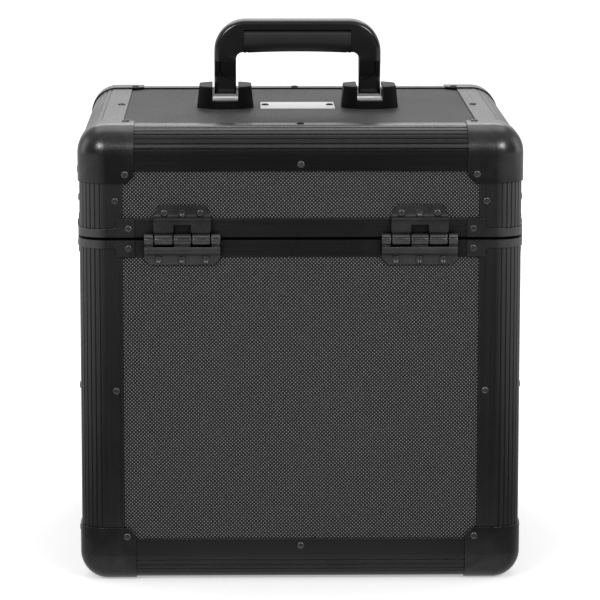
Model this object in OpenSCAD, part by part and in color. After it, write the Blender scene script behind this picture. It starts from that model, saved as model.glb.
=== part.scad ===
// Record carrying case: a laminated board box in ribbed edge rails with ball corner caps,
// a lid on two cranked five-knuckle hinges, two draw latches and a folding carrying handle.
// X runs along the hinge, -Y is the latch side, +Y the hinge side, Z is up, z = 0 is the floor.

/* [Case] */
// Width over the side faces
case_w = 360; // [320:1:420]
// Depth from the latch side face to the hinge side face
case_d = 350; // [310:1:420]
// Height of the base, from its bottom rails to its rim
base_h = 284.2; // [200:0.1:330]
// Height of the lid, from its rim to its top rails
lid_h = 89.7; // [75:0.1:140]
// Gap between the two rims
seam_gap = 0.8; // [0.4:0.1:1.2]

/* [Edge rails] */
// Outer radius of the rounded edge
edge_r = 21.6; // [19:0.1:22]
// Width of a rail or post on each face, its round part included
edge_face = 35.3; // [33:0.1:38]
// Wall of the extrusion
skin = 1.3; // [1:0.1:1.5]
// Distance from an outer face to the edge of the board that starts behind it
seat = 23.2; // [23:0.1:24]
// How much shorter the inner lip of a slot is
lip_back = 4; // [2:0.5:6]
// Number of grooves along the round part
grooves = 7; // [3:1:9]
// Radius of one groove
groove_r = 0.6; // [0.3:0.05:0.7]
// Gap where the end of one rail meets the next
butt_gap = 0.2; // [0.1:0.1:0.5]

/* [Boards] */
// Thickness of the laminated boards
board_t = 4; // [3:0.1:5]

/* [Rims] */
// Width of the lid's rim on the face
lid_rim_face = 15.8; // [14:0.1:18]
// Width of the base's rim on the face
base_rim_face = 14.4; // [13:0.1:17]
// Thickness of the web that closes a rim
rim_web = 1.6; // [1.2:0.1:2.2]
// Depth of the rims from the outer face inwards
rim_in = 12.2; // [11.8:0.1:14]
// Height of the tongue on the base's rim
tongue_h = 2.6; // [2:0.1:3.4]
// Thickness of the tongue
tongue_t = 1.4; // [1:0.1:1.6]
// Gap between the tongue and each wall of its groove
tongue_gap = 0.6; // [0.5:0.05:0.8]

/* [Corner caps] */
// Reach of a cap from the outer faces
cap_reach = 45; // [42:0.5:50]
// Thickness of a cap
cap_t = 1.2; // [0.8:0.1:1.6]
// Cut-off corner of each leaf of a cap
cap_cut = 6.5; // [3:0.5:8]
// Gap under caps and rim brackets
wrap_gap = 0.05; // [0.02:0.01:0.1]

/* [Rim brackets] */
// Thickness of a rim bracket
wrap_t = 1; // [0.8:0.1:1.4]
// Height of the strip that goes round the corner
wrap_h = 7.6; // [6:0.1:9]
// Width of the tab at each end
tab_w = 14.6; // [12:0.1:16]
// Reach of the tabs from the outer faces
tab_reach = 45.4; // [44:0.1:48]
// Radius between the strip and a tab
tab_fillet = 3.5; // [2:0.5:4]

/* [Hinges] */
// Distance of a hinge's middle from the nearer side face
hinge_in = 84; // [80:1:100]
// How far hinges and latches stand off the faces
hardware_out = 9.3; // [9.1:0.1:10]
// Radius of the knuckles
knuckle_r = 4.5; // [4:0.1:4.6]
// Radius of the hinge pin
hinge_pin_r = 1.9; // [1.5:0.1:2]
// Thickness of the leaves
leaf_t = 1.5; // [1.2:0.1:1.7]
// Width of the base's leaf
leaf_w = 61.4; // [58:0.1:66]
// Width of the outer knuckles of the base's leaf
end_knuckle_w = 7.3; // [6:0.1:9]
// Width of the middle knuckle of the base's leaf
mid_knuckle_w = 13.8; // [11:0.1:16]
// Gap between neighbouring knuckles
knuckle_gap = 0.25; // [0.15:0.05:0.4]
// Drop from the pin to the bend of the base's leaf
base_bend = 12.6; // [11:0.1:14]
// Drop from the pin to the lower edge of the base's leaf
base_leaf_drop = 21.2; // [20.8:0.1:24]
// Drop from the pin to the rivets of the base's leaf
base_rivet_drop = 17.2; // [17.1:0.1:19]
// Distance between the rivets of the base's leaf
base_rivet_step = 19.2; // [16:0.1:22]
// Height of the riveted part of the lid's leaf
lid_leaf_h = 9.4; // [8:0.1:12]
// Width of the lid's leaf along its top edge
lid_leaf_top = 37.2; // [34:0.1:42]
// Height of the window over the middle knuckle
window_h = 12.4; // [11:0.1:13]
// Distance between the rivets of the lid's leaf
lid_rivet_step = 14.6; // [12:0.1:15]

/* [Latches] */
// Distance of a latch from the nearer side face
latch_in = 84; // [70:1:100]
// Width of a latch between its ears
latch_w = 26; // [24:0.5:32]
// Thickness of the latch's sheet metal
sheet_t = 1.2; // [1:0.1:1.2]
// Radius of the latch's two pins
latch_pin_r = 1.2; // [1:0.1:1.2]
// Drop from the seam to the lever's pin
lever_drop = 20; // [18:0.5:24]
// Drop from the lever's pin to the claw's pin
claw_drop = 6.5; // [6:0.1:8]
// Length of the lever below its pin
lever_len = 29; // [25:0.5:40]
// Height of the keeper's ledge over the seam
ledge_z = 7; // [6:0.1:9]
// Gap between the moving pieces of a latch
latch_gap = 0.3; // [0.2:0.05:0.4]

/* [Handle] */
// Distance of the handle's legs from the middle
leg_x = 61.5; // [55:0.5:75]
// Width of a leg
leg_w = 18.6; // [16:0.1:20]
// Height of the handle's top over the lid's top rails
grip_top = 72.9; // [68:0.1:85]
// Depth of the grip, front to back
grip_d = 24; // [20:0.5:24]
// Thickness of a leg at its pin
leg_t = 12.4; // [11:0.1:13]
// Height of the bar, grip included
bar_h = 27.4; // [24:0.1:30]
// Radius of the handle's outer corners
handle_r = 26.5; // [20:0.5:30]
// Radius inside the handle's upper corners
inner_round = 5.5; // [3:0.5:6]
// Rounding of the bar's long upper edges
bar_round = 7; // [4:0.5:9]
// Height over the top rails at which the legs reach the bar's full depth
leg_thick_z = 38; // [34:0.5:42]
// Height over the top rails at which the legs are thin
leg_thin_z = 24; // [20:0.5:28]
// Radius of the rounds in which the shoulders end on the legs
shoulder_r = 16.4; // [12:0.1:17]
// Step from the shoulders down to the legs
shoulder_step = 0.6; // [0.3:0.1:1]
// Length of the soft grip
grip_len = 91; // [80:1:95]
// How far the grip stands proud of the bar, front and back
grip_proud = 0.4; // [0:0.1:0.8]
// How much lower the grip is at its ends than in its middle
grip_arch = 1.2; // [0.4:0.1:1.6]
// Rounding of the grip's lower edges
grip_round = 6; // [3:0.5:8]
// Height of the hard bar over the soft grip
bar_top = 8.4; // [6:0.1:10]
// Height of the handle's pin over the board
pivot_h = 15.2; // [15:0.1:16]
// Radius of the handle's pin
handle_pin_r = 2; // [1.5:0.1:2.2]

/* [Handle brackets] */
// Radius of a bracket's round footprint
foot_r = 27; // [25:0.5:28]
// Width of a bracket on the board
foot_w = 48.4; // [46:0.1:52]
// Height of a bracket
foot_h = 18.7; // [18.4:0.1:20]
// Slope of a bracket's sides, inwards over its height
foot_draft = 2.2; // [0:0.1:3]
// Rounding of a bracket's upper edge
foot_round = 1.6; // [0.5:0.1:2]
// Gap between a leg and its bracket, each side
leg_gap = 1.7; // [0.5:0.1:2]
// Height of the slot's floor on the hinge side, its bright plate included
sill_h = 7.6; // [6:0.1:8]
// How far that floor reaches past the pin; the slot is open from there to the latch side
sill_past = 4; // [2:0.5:6]
// Thickness of the bright plate on that floor
saddle_t = 1.2; // [1:0.1:2]

/* [Name plate] */
// Width of the blank plate
plate_w = 63; // [50:1:80]
// Depth of the blank plate
plate_d = 47; // [30:1:60]
// Thickness of the blank plate
plate_t = 0.8; // [0.5:0.1:1.2]

/* [Lining] */
// Thickness of the lining boards
liner_t = 3; // [2:0.5:5]
// Thickness of the pad on the floor
floor_pad_t = 6; // [4:0.5:12]
// Thickness of the pad under the lid's top
lid_pad_t = 12; // [6:0.5:20]

/* [Rivets] */
// Radius of a rivet's head
rivet_r = 2.7; // [2.2:0.1:3]
// Height of a rivet's head
rivet_h = 1.2; // [0.8:0.1:1.4]
// Distance of the rail rivets from the outer faces
rail_rivet = 29.8; // [28:0.1:31]
// Distance of the cap rivets from the outer faces
cap_rivet = 37.8; // [37:0.1:39]
// Height of the base's post rivets as a share of the base
base_post_rivet = 0.56; // [0.3:0.01:0.7]
// Height of the lid's post rivets as a share of the lid
lid_post_rivet = 0.335; // [0.32:0.005:0.4]
// Distance of the blank plate's rivets from its ends
plate_rivet_in = 4; // [3.5:0.5:8]
// Drop of a latch plate's rivets from the seam
plate_rivet_drop = 8; // [7:0.5:10]
// Drop of a keeper's rivets from its upper edge
keeper_rivet_drop = 4.2; // [4:0.1:5]

/* [Hidden] */
$fn = 64;

// Levels
foot_z = cap_t + wrap_gap;
base_z = foot_z + base_h;
lid_z = base_z + seam_gap;
seam_z = base_z + seam_gap / 2;
top_z = lid_z + lid_h;
panel_z = top_z - skin;

// Slot of the rails
slot_in = skin + board_t;
inner_face = slot_in + skin;
lip_end = edge_face - lip_back;
rail_cut = edge_face + butt_gap;
half_w = case_w / 2;
half_d = case_d / 2;

// Rim profile
rim_lip_h = base_rim_face - lip_back;
groove_wall = 1.1;
groove_in = inner_face + groove_wall;
groove_w = tongue_t + 2 * tongue_gap;
groove_h = tongue_h + tongue_gap;
rim_stack = groove_h + rim_web;

// Lining
liner_face = inner_face + liner_t;
floor_pad_z = foot_z + inner_face;
lid_pad_z = top_z - inner_face - lid_pad_t;

// Hinge
hinge_n = hardware_out - knuckle_r;
pin_clear = 0.05;
standoff_n = hardware_out - leaf_t;
hinge_x = half_w - hinge_in;
pocket_h = knuckle_r + 1.5;
lid_leaf_w = leaf_w - 2 * (end_knuckle_w + knuckle_gap);
lid_leaf_z = lid_z + lid_rim_face;
ridge_h = 1.6;
leaf_cut = 5;
hinge_len = leaf_w - 0.4;

// Latch
lever_n = 3.6;
claw_shift = 1.6;
claw_n = lever_n + claw_shift;
latch_x = half_w - latch_in;
lever_z = seam_z - lever_drop;
claw_z = lever_z - claw_drop;
latch_boss_r = 2.1;
ear_r = 1.4 * latch_boss_r;
plate_top_drop = 3;
keeper_edge = 0.6;
flange_out = latch_w / 2 - latch_gap;
flange_in = flange_out - sheet_t;
claw_w = 2 * (flange_in - latch_gap);
claw_plate_n = lever_n + latch_pin_r + latch_gap;
claw_plate_t = 1.1;
ledge_out = claw_plate_n - 2 * latch_gap;
ledge_t = 2.4;
latch_ear_w = latch_w + 2 * sheet_t;
lever_top = claw_z - latch_boss_r - 1;
lever_end = lever_z - lever_len;

// Handle
pivot_z = panel_z + pivot_h;
bail_half = leg_x + leg_w / 2;
bar_z = top_z + grip_top - bar_h;
slot_half = leg_w / 2 + leg_gap;
leg_boss_r = 5.2;
grip_z1 = top_z + grip_top - bar_top;

// Draws a section given in Y and Z, and runs it along X
module along_x(len) {
    rotate([90, 0, 90])
        linear_extrude(len, center = true)
            children();
}

// Draws a section given in X and Z, and runs it along Y
module along_y(len) {
    rotate([90, 0, 0])
        linear_extrude(len, center = true)
            children();
}

// Mirrors its children when on is true
module flip(on, v) {
    if (on) {
        mirror(v) children();
    } else {
        children();
    }
}

// Block, rounded at the origin corner with the given radius about the edge's centre
module corner_block(radius, span) {
    near = edge_r - radius;
    intersection() {
        translate([edge_r, edge_r])
            circle(radius);
        translate([near, near])
            square(radius);
    }
    translate([edge_r, near])
        square([span - edge_r, span - near]);
    translate([near, edge_r])
        square([span - near, span - edge_r]);
}

// Section of an edge rail: ribbed round skin, inner angle and the two webs that stop the boards
module edge_section() {
    difference() {
        corner_block(edge_r, edge_face);
        corner_block(edge_r - skin, edge_face + 1);
        for (i = [1 : grooves]) {
            a = 180 + 90 * i / (grooves + 1);
            translate([edge_r + edge_r * cos(a), edge_r + edge_r * sin(a)])
                circle(groove_r);
        }
    }
    intersection() {
        difference() {
            translate([slot_in, slot_in])
                square(lip_end - slot_in);
            translate([inner_face, inner_face])
                square(lip_end);
        }
        corner_block(edge_r - skin / 2, edge_face);
    }
    translate([seat - skin, skin / 2])
        square([skin, board_t + skin]);
    translate([skin / 2, seat - skin])
        square([board_t + skin, skin]);
}

// Edge section at a corner: quadrant 0 is low-low, then counter-clockwise
module edge_at(quadrant, at) {
    translate(at)
        rotate(90 * quadrant)
            edge_section();
}

// Corner posts between two levels
module posts(z0, z1) {
    translate([0, 0, z0])
        linear_extrude(z1 - z0) {
            edge_at(0, [-half_w, -half_d]);
            edge_at(1, [half_w, -half_d]);
            edge_at(2, [half_w, half_d]);
            edge_at(3, [-half_w, half_d]);
        }
}

// Section of the lid's rim, u inwards from the face and w up from the seam
module lid_rim_profile() {
    square([skin, lid_rim_face]);
    translate([slot_in, 0])
        square([skin, rim_lip_h]);
    difference() {
        union() {
            square([rim_in, rim_web]);
            translate([inner_face, 0])
                square([rim_in - inner_face, rim_stack]);
        }
        translate([groove_in, -1])
            square([groove_w, groove_h + 1]);
    }
}

// Section of the base's rim, u inwards from the face and w up from the seam
module base_rim_profile() {
    translate([0, -base_rim_face])
        square([skin, base_rim_face]);
    translate([0, -rim_web])
        square([rim_in, rim_web]);
    translate([slot_in, -rim_lip_h])
        square([skin, rim_lip_h]);
    translate([groove_in + tongue_gap, -rim_web])
        square([tongue_t, rim_web + tongue_h]);
}

// Rounded corner of a box, solid, with its edges' centre at edge_r and the given radius
module round_corner(radius, span) {
    near = edge_r - radius;
    run = span - edge_r;
    translate([edge_r, edge_r, edge_r]) {
        sphere(radius);
        cylinder(r = radius, h = run);
        rotate([0, 90, 0]) cylinder(r = radius, h = run);
        rotate([-90, 0, 0]) cylinder(r = radius, h = run);
    }
    translate([edge_r, edge_r, near]) cube([run, run, span - near]);
    translate([edge_r, near, edge_r]) cube([run, span - near, run]);
    translate([near, edge_r, edge_r]) cube([span - near, run, run]);
}

// Cut-off corner of one leaf of a cap
module cap_corner_cut() {
    translate([0, 0, -2 * cap_t])
        linear_extrude(3 * cap_t)
            polygon([
                [cap_reach + 1, cap_reach - cap_cut - 1],
                [cap_reach + 1, cap_reach + 1],
                [cap_reach - cap_cut - 1, cap_reach + 1]
            ]);
}

// Ball corner cap, drawn at the low corner of the box
module corner_cap() {
    difference() {
        round_corner(edge_r + wrap_gap + cap_t, cap_reach);
        round_corner(edge_r + wrap_gap, cap_reach + edge_r);
        cap_corner_cut();
        rotate([90, 0, 90]) cap_corner_cut();
        rotate([0, -90, -90]) cap_corner_cut();
    }
}

// Places its children at the four upright corners, drawn for the low x and low y one
module four_corners() {
    for (sx = [false, true])
        for (sy = [false, true])
            flip(sx, [1, 0, 0])
                flip(sy, [0, 1, 0])
                    translate([-half_w, -half_d, 0])
                        children();
}

// Rim bracket: a strip round the corner with a tab on each face, hanging down from w = 0
module rim_bracket(tab_h) {
    out = wrap_gap + wrap_t;
    translate([0, 0, -wrap_h])
        linear_extrude(wrap_h)
            difference() {
                corner_block(edge_r + out, tab_reach);
                corner_block(edge_r + wrap_gap, tab_reach + 1);
            }
    bracket_tab(tab_h);
    mirror([1, -1, 0]) bracket_tab(tab_h);
}

module bracket_tab(tab_h) {
    x0 = tab_reach - tab_w;
    translate([0, -wrap_gap, 0])
        rotate([90, 0, 0])
            linear_extrude(wrap_t) {
                translate([x0, -tab_h])
                    square([tab_w, tab_h]);
                difference() {
                    translate([x0 - tab_fillet, -wrap_h - tab_fillet])
                        square([2 * tab_fillet, tab_fillet + 1]);
                    translate([x0 - tab_fillet, -wrap_h - tab_fillet])
                        circle(tab_fillet);
                }
            }
}

// Domed rivet head standing on z = 0
module rivet() {
    ball = (rivet_r * rivet_r + rivet_h * rivet_h) / (2 * rivet_h);
    rotate_extrude()
        intersection() {
            translate([0, rivet_h - ball])
                circle(ball);
            square([rivet_r, rivet_h]);
        }
}

// Rivet whose head points along a face's outward direction: "x", "y" or "z", with its sign
module rivet_on(axis, s, at) {
    translate(at)
        rotate(axis == "x" ? [0, 90 * s, 0] : axis == "y" ? [-90 * s, 0, 0] : [s > 0 ? 0 : 180, 0, 0])
            rivet();
}

// Rivets of one end of the box: its caps, its rails and its posts
module end_rivets(rail_z, s, post_z) {
    out = wrap_gap + cap_t;
    cz = rail_z - s * cap_rivet;
    for (sx = [-1, 1])
        for (sy = [-1, 1]) {
            rivet_on("x", sx, [sx * (half_w + out), sy * (half_d - cap_rivet), cz]);
            rivet_on("y", sy, [sx * (half_w - cap_rivet), sy * (half_d + out), cz]);
            rivet_on("x", sx, [sx * half_w, sy * (half_d - rail_rivet), post_z]);
            rivet_on("y", sy, [sx * (half_w - rail_rivet), sy * half_d, post_z]);
        }
    for (t = [-1, 1]) {
        rivet_on("x", t, [t * half_w, 0, rail_z - s * rail_rivet]);
        rivet_on("y", t, [0, t * half_d, rail_z - s * rail_rivet]);
    }
}

// Rivets of the rim brackets, one in each tab
module bracket_rivets(z) {
    out = wrap_gap + wrap_t;
    in = tab_reach - tab_w / 3;
    for (sx = [-1, 1])
        for (sy = [-1, 1]) {
            rivet_on("x", sx, [sx * (half_w + out), sy * (half_d - in), z]);
            rivet_on("y", sy, [sx * (half_w - in), sy * (half_d + out), z]);
        }
}

// Boards of one half, drawn as plates behind the outer lips
module end_wall(y_face, z0, z1) {
    translate([-(half_w - seat), min(y_face, y_face - sign(y_face) * board_t), z0])
        cube([case_w - 2 * seat, board_t, z1 - z0]);
}

module side_wall(x_face, z0, z1) {
    translate([min(x_face, x_face - sign(x_face) * board_t), -(half_d - seat), z0])
        cube([board_t, case_d - 2 * seat, z1 - z0]);
}

module flat_board(z0) {
    translate([-(half_w - seat), -(half_d - seat), z0])
        cube([case_w - 2 * seat, case_d - 2 * seat, board_t]);
}

base_wall_z0 = foot_z + seat;
base_wall_z1 = base_z - rim_web;
lid_wall_z0 = lid_z + rim_web;
lid_wall_z1 = top_z - seat;

module base_floor_board() { color("dimgray") flat_board(foot_z + skin); }
module base_back_board() { color("dimgray") end_wall(half_d - skin, base_wall_z0, base_wall_z1); }
module base_front_board() { color("dimgray") end_wall(-half_d + skin, base_wall_z0, base_wall_z1); }
module base_left_board() { color("dimgray") side_wall(-half_w + skin, base_wall_z0, base_wall_z1); }
module base_right_board() { color("dimgray") side_wall(half_w - skin, base_wall_z0, base_wall_z1); }

module lid_top_board() { color("gray") flat_board(panel_z - board_t); }
module lid_back_board() { color("dimgray") end_wall(half_d - skin, lid_wall_z0, lid_wall_z1); }
module lid_front_board() { color("dimgray") end_wall(-half_d + skin, lid_wall_z0, lid_wall_z1); }
module lid_left_board() { color("dimgray") side_wall(-half_w + skin, lid_wall_z0, lid_wall_z1); }
module lid_right_board() { color("dimgray") side_wall(half_w - skin, lid_wall_z0, lid_wall_z1); }

module base_corner_posts() { color([0.2, 0.2, 0.21]) posts(foot_z + rail_cut, base_z); }
module lid_corner_posts() { color([0.2, 0.2, 0.21]) posts(lid_z, top_z - rail_cut); }

// Rails along X stop short of the side rails, and the other way round
rail_len_x = case_w - 2 * rail_cut;
rail_len_y = case_d - 2 * rail_cut;

module base_bottom_rail_back() {
    color([0.22, 0.22, 0.23]) along_x(rail_len_x) edge_at(1, [half_d, foot_z]);
}

module base_bottom_rail_front() {
    color([0.22, 0.22, 0.23]) along_x(rail_len_x) edge_at(0, [-half_d, foot_z]);
}

module base_bottom_rail_left() {
    color([0.22, 0.22, 0.23]) along_y(rail_len_y) edge_at(0, [-half_w, foot_z]);
}

module base_bottom_rail_right() {
    color([0.22, 0.22, 0.23]) along_y(rail_len_y) edge_at(1, [half_w, foot_z]);
}

module lid_top_rail_back() {
    color([0.22, 0.22, 0.23]) along_x(rail_len_x) edge_at(2, [half_d, top_z]);
}

module lid_top_rail_front() {
    color([0.22, 0.22, 0.23]) along_x(rail_len_x) edge_at(3, [-half_d, top_z]);
}

module lid_top_rail_left() {
    color([0.22, 0.22, 0.23]) along_y(rail_len_y) edge_at(3, [-half_w, top_z]);
}

module lid_top_rail_right() {
    color([0.22, 0.22, 0.23]) along_y(rail_len_y) edge_at(2, [half_w, top_z]);
}

module base_rim_back() {
    color([0.15, 0.15, 0.16])
        along_x(rail_len_x) translate([half_d, base_z]) mirror([1, 0]) base_rim_profile();
}

module base_rim_front() {
    color([0.15, 0.15, 0.16]) along_x(rail_len_x) translate([-half_d, base_z]) base_rim_profile();
}

module base_rim_left() {
    color([0.15, 0.15, 0.16]) along_y(rail_len_y) translate([-half_w, base_z]) base_rim_profile();
}

module base_rim_right() {
    color([0.15, 0.15, 0.16])
        along_y(rail_len_y) translate([half_w, base_z]) mirror([1, 0]) base_rim_profile();
}

module lid_rim_back() {
    color([0.15, 0.15, 0.16])
        along_x(rail_len_x) translate([half_d, lid_z]) mirror([1, 0]) lid_rim_profile();
}

module lid_rim_front() {
    color([0.15, 0.15, 0.16]) along_x(rail_len_x) translate([-half_d, lid_z]) lid_rim_profile();
}

module lid_rim_left() {
    color([0.15, 0.15, 0.16]) along_y(rail_len_y) translate([-half_w, lid_z]) lid_rim_profile();
}

module lid_rim_right() {
    color([0.15, 0.15, 0.16])
        along_y(rail_len_y) translate([half_w, lid_z]) mirror([1, 0]) lid_rim_profile();
}

module base_corner_caps() {
    color([0.17, 0.17, 0.18]) four_corners() translate([0, 0, foot_z]) corner_cap();
}

module lid_corner_caps() {
    color([0.17, 0.17, 0.18]) four_corners() translate([0, 0, top_z]) mirror([0, 0, 1]) corner_cap();
}

module base_rim_brackets() {
    color([0.16, 0.16, 0.17]) four_corners() translate([0, 0, base_z]) rim_bracket(base_rim_face);
}

module lid_rim_brackets() {
    color([0.16, 0.16, 0.17])
        four_corners() translate([0, 0, lid_z]) mirror([0, 0, 1]) rim_bracket(lid_rim_face);
}

// Lining boards of one half, one in front of each wall
module lining(z0, z1) {
    inner_w = case_w - 2 * liner_face;
    inner_d = case_d - 2 * liner_face;
    for (s = [-1, 1]) {
        translate([0, s * (half_d - inner_face - liner_t / 2), (z0 + z1) / 2])
            cube([inner_w, liner_t, z1 - z0], center = true);
        translate([s * (half_w - inner_face - liner_t / 2), 0, (z0 + z1) / 2])
            cube([liner_t, inner_d, z1 - z0], center = true);
    }
}

module pad(z0, t) {
    translate([0, 0, z0 + t / 2])
        cube([case_w - 2 * liner_face, case_d - 2 * liner_face, t], center = true);
}

module base_wall_lining() { color([0.1, 0.1, 0.1]) lining(foot_z + liner_face, base_wall_z1); }
module base_floor_pad() { color([0.12, 0.12, 0.12]) pad(floor_pad_z, floor_pad_t); }
module lid_wall_lining() { color([0.1, 0.1, 0.1]) lining(lid_z + rim_stack, top_z - liner_face); }
module lid_top_pad() { color([0.12, 0.12, 0.12]) pad(lid_pad_z, lid_pad_t); }

// One knuckle of a hinge
module knuckle(x0, x1) {
    translate([x0, half_d + hinge_n, seam_z])
        rotate([0, 90, 0])
            cylinder(r = knuckle_r, h = x1 - x0);
}

module hinge_bore() {
    translate([0, half_d + hinge_n, seam_z])
        rotate([0, 90, 0])
            cylinder(r = hinge_pin_r + pin_clear, h = leaf_w + 2, center = true);
}

mid_half = mid_knuckle_w / 2;
end_in = leaf_w / 2 - end_knuckle_w;

// Cranked leaf: riveted low on the base, out at its bend and up to its three knuckles,
// with a pocket under each of the lid's knuckles
module hinge_base_leaf() {
    z_low = seam_z - base_leaf_drop;
    z_bend = seam_z - base_bend;
    y_out = half_d + standoff_n;
    difference() {
        union() {
            translate([0, half_d + leaf_t, 0])
                rotate([90, 0, 0])
                    linear_extrude(leaf_t)
                        polygon([
                            [-leaf_w / 2, z_bend], [-leaf_w / 2, z_low + leaf_cut],
                            [-leaf_w / 2 + leaf_cut, z_low], [leaf_w / 2 - leaf_cut, z_low],
                            [leaf_w / 2, z_low + leaf_cut], [leaf_w / 2, z_bend]
                        ]);
            translate([-leaf_w / 2, half_d, z_bend - ridge_h])
                cube([leaf_w, hardware_out, ridge_h]);
            translate([-leaf_w / 2, y_out, z_bend - ridge_h])
                cube([leaf_w, leaf_t, base_bend + ridge_h - pocket_h]);
            for (span = [[-leaf_w / 2, -end_in], [-mid_half, mid_half], [end_in, leaf_w / 2]]) {
                knuckle(span[0], span[1]);
                translate([span[0], y_out, seam_z - pocket_h - 1])
                    cube([span[1] - span[0], leaf_t, pocket_h + 1]);
            }
        }
        hinge_bore();
    }
}

// Cranked leaf: riveted to the lid's board, out over the rim, and down to its two knuckles
module hinge_lid_leaf() {
    y_board = half_d - skin;
    y_out = half_d + standoff_n;
    half = lid_leaf_w / 2;
    k0 = mid_half + knuckle_gap;
    difference() {
        union() {
            translate([0, y_board + leaf_t, lid_leaf_z])
                rotate([90, 0, 0])
                    linear_extrude(leaf_t)
                        polygon([
                            [-half, 0], [half, 0], [half, ridge_h],
                            [lid_leaf_top / 2, ridge_h + lid_leaf_h],
                            [-lid_leaf_top / 2, ridge_h + lid_leaf_h], [-half, ridge_h]
                        ]);
            translate([-half, y_board, lid_leaf_z])
                cube([lid_leaf_w, y_out + leaf_t - y_board, ridge_h]);
            translate([-half, y_out, seam_z])
                cube([lid_leaf_w, leaf_t, lid_leaf_z + ridge_h - seam_z]);
            knuckle(-half, -k0);
            knuckle(k0, half);
        }
        translate([-k0, half_d, seam_z - knuckle_r - 1])
            cube([2 * k0, hardware_out + 1, knuckle_r + 1 + window_h]);
        hinge_bore();
    }
}

module hinge_base_leaf_left() { color([0.18, 0.18, 0.19]) translate([-hinge_x, 0, 0]) hinge_base_leaf(); }
module hinge_base_leaf_right() { color([0.18, 0.18, 0.19]) translate([hinge_x, 0, 0]) hinge_base_leaf(); }
module hinge_lid_leaf_left() { color([0.18, 0.18, 0.19]) translate([-hinge_x, 0, 0]) hinge_lid_leaf(); }
module hinge_lid_leaf_right() { color([0.18, 0.18, 0.19]) translate([hinge_x, 0, 0]) hinge_lid_leaf(); }

// The pins that the base holds: one in each hinge, one under each latch's lever
module hinge_and_lever_pins() {
    color("silver")
        for (s = [-1, 1]) {
            translate([s * hinge_x, half_d + hinge_n, seam_z])
                rotate([0, 90, 0])
                    cylinder(r = hinge_pin_r, h = hinge_len, center = true);
            on_front(s * latch_x) lever_pin();
        }
}

// Places a latch piece that is drawn with x across, y outwards from the face and z up
module on_front(x) {
    translate([x, -half_d, 0])
        mirror([0, 1, 0])
            children();
}

// Runs a section given in outward distance and height across the latch
module across(w) {
    rotate([90, 0, 90])
        linear_extrude(w, center = true)
            children();
}

module latch_plate() {
    z1 = seam_z - plate_top_drop;
    plate_h = z1 - lever_end - latch_boss_r / 2;
    difference() {
        union() {
            translate([-latch_ear_w / 2, 0, z1 - plate_h])
                cube([latch_ear_w, sheet_t, plate_h]);
            for (s = [-1, 1])
                translate([s * (latch_w + sheet_t) / 2, 0, 0])
                    across(sheet_t) {
                        translate([0, lever_z - 2 * latch_boss_r])
                            square([lever_n, 4 * latch_boss_r]);
                        translate([lever_n, lever_z])
                            circle(ear_r);
                    }
        }
        translate([0, lever_n, lever_z])
            rotate([0, 90, 0])
                cylinder(r = latch_pin_r + pin_clear, h = latch_ear_w + 2, center = true);
    }
}

module latch_lever() {
    difference() {
        union() {
            translate([-flange_out, hardware_out - sheet_t, lever_end])
                cube([2 * flange_out, sheet_t, lever_top - lever_end]);
            for (s = [-1, 1])
                translate([s * (flange_out - sheet_t / 2), 0, 0])
                    across(sheet_t) {
                        translate([lever_n, lever_z]) circle(latch_boss_r);
                        translate([claw_n, claw_z]) circle(latch_boss_r);
                        polygon([
                            [lever_n - latch_boss_r, lever_z], [lever_n + latch_boss_r, lever_z],
                            [hardware_out, claw_z], [hardware_out, lever_end],
                            [hardware_out - sheet_t, lever_end], [lever_n - latch_boss_r, claw_z]
                        ]);
                    }
        }
        translate([0, lever_n, lever_z])
            rotate([0, 90, 0])
                cylinder(r = latch_pin_r + pin_clear, h = latch_w, center = true);
        translate([0, claw_n, claw_z])
            rotate([0, 90, 0])
                cylinder(r = latch_pin_r + pin_clear, h = latch_w, center = true);
    }
}

module latch_claw() {
    tip_z = seam_z + ledge_z + latch_gap;
    difference() {
        across(claw_w) {
            translate([claw_n, claw_z]) circle(latch_boss_r);
            translate([claw_plate_n, claw_z])
                square([claw_plate_t, tip_z + claw_plate_t - claw_z]);
            translate([sheet_t + 2 * latch_gap, tip_z])
                square([claw_plate_n - sheet_t, claw_plate_t]);
        }
        translate([0, claw_n, claw_z])
            rotate([0, 90, 0])
                cylinder(r = latch_pin_r + pin_clear, h = latch_w, center = true);
    }
}

// Keeper on the lid's rim, with the ledge that the claw draws down on
module latch_keeper() {
    translate([-latch_ear_w / 2, 0, lid_z + keeper_edge])
        cube([latch_ear_w, sheet_t, lid_rim_face - 2 * keeper_edge]);
    translate([-claw_w / 2, 0, seam_z + ledge_z - ledge_t])
        cube([claw_w, ledge_out, ledge_t]);
}

module lever_pin() {
    translate([0, lever_n, lever_z])
        rotate([0, 90, 0])
            cylinder(r = latch_pin_r, h = latch_ear_w, center = true);
}

module claw_pin() {
    translate([0, claw_n, claw_z])
        rotate([0, 90, 0])
            cylinder(r = latch_pin_r, h = 2 * flange_out, center = true);
}

latch_grey = [0.2, 0.2, 0.21];
module latch_plate_left() { color(latch_grey) on_front(-latch_x) latch_plate(); }
module latch_plate_right() { color(latch_grey) on_front(latch_x) latch_plate(); }
module latch_keeper_left() { color(latch_grey) on_front(-latch_x) latch_keeper(); }
module latch_keeper_right() { color(latch_grey) on_front(latch_x) latch_keeper(); }
module latch_lever_left() { color(latch_grey) on_front(-latch_x) latch_lever(); }
module latch_lever_right() { color(latch_grey) on_front(latch_x) latch_lever(); }
module latch_claw_left() { color("silver") on_front(-latch_x) latch_claw(); }
module latch_claw_right() { color("silver") on_front(latch_x) latch_claw(); }

module latch_claw_pin_left() { color("silver") on_front(-latch_x) claw_pin(); }
module latch_claw_pin_right() { color("silver") on_front(latch_x) claw_pin(); }

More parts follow.
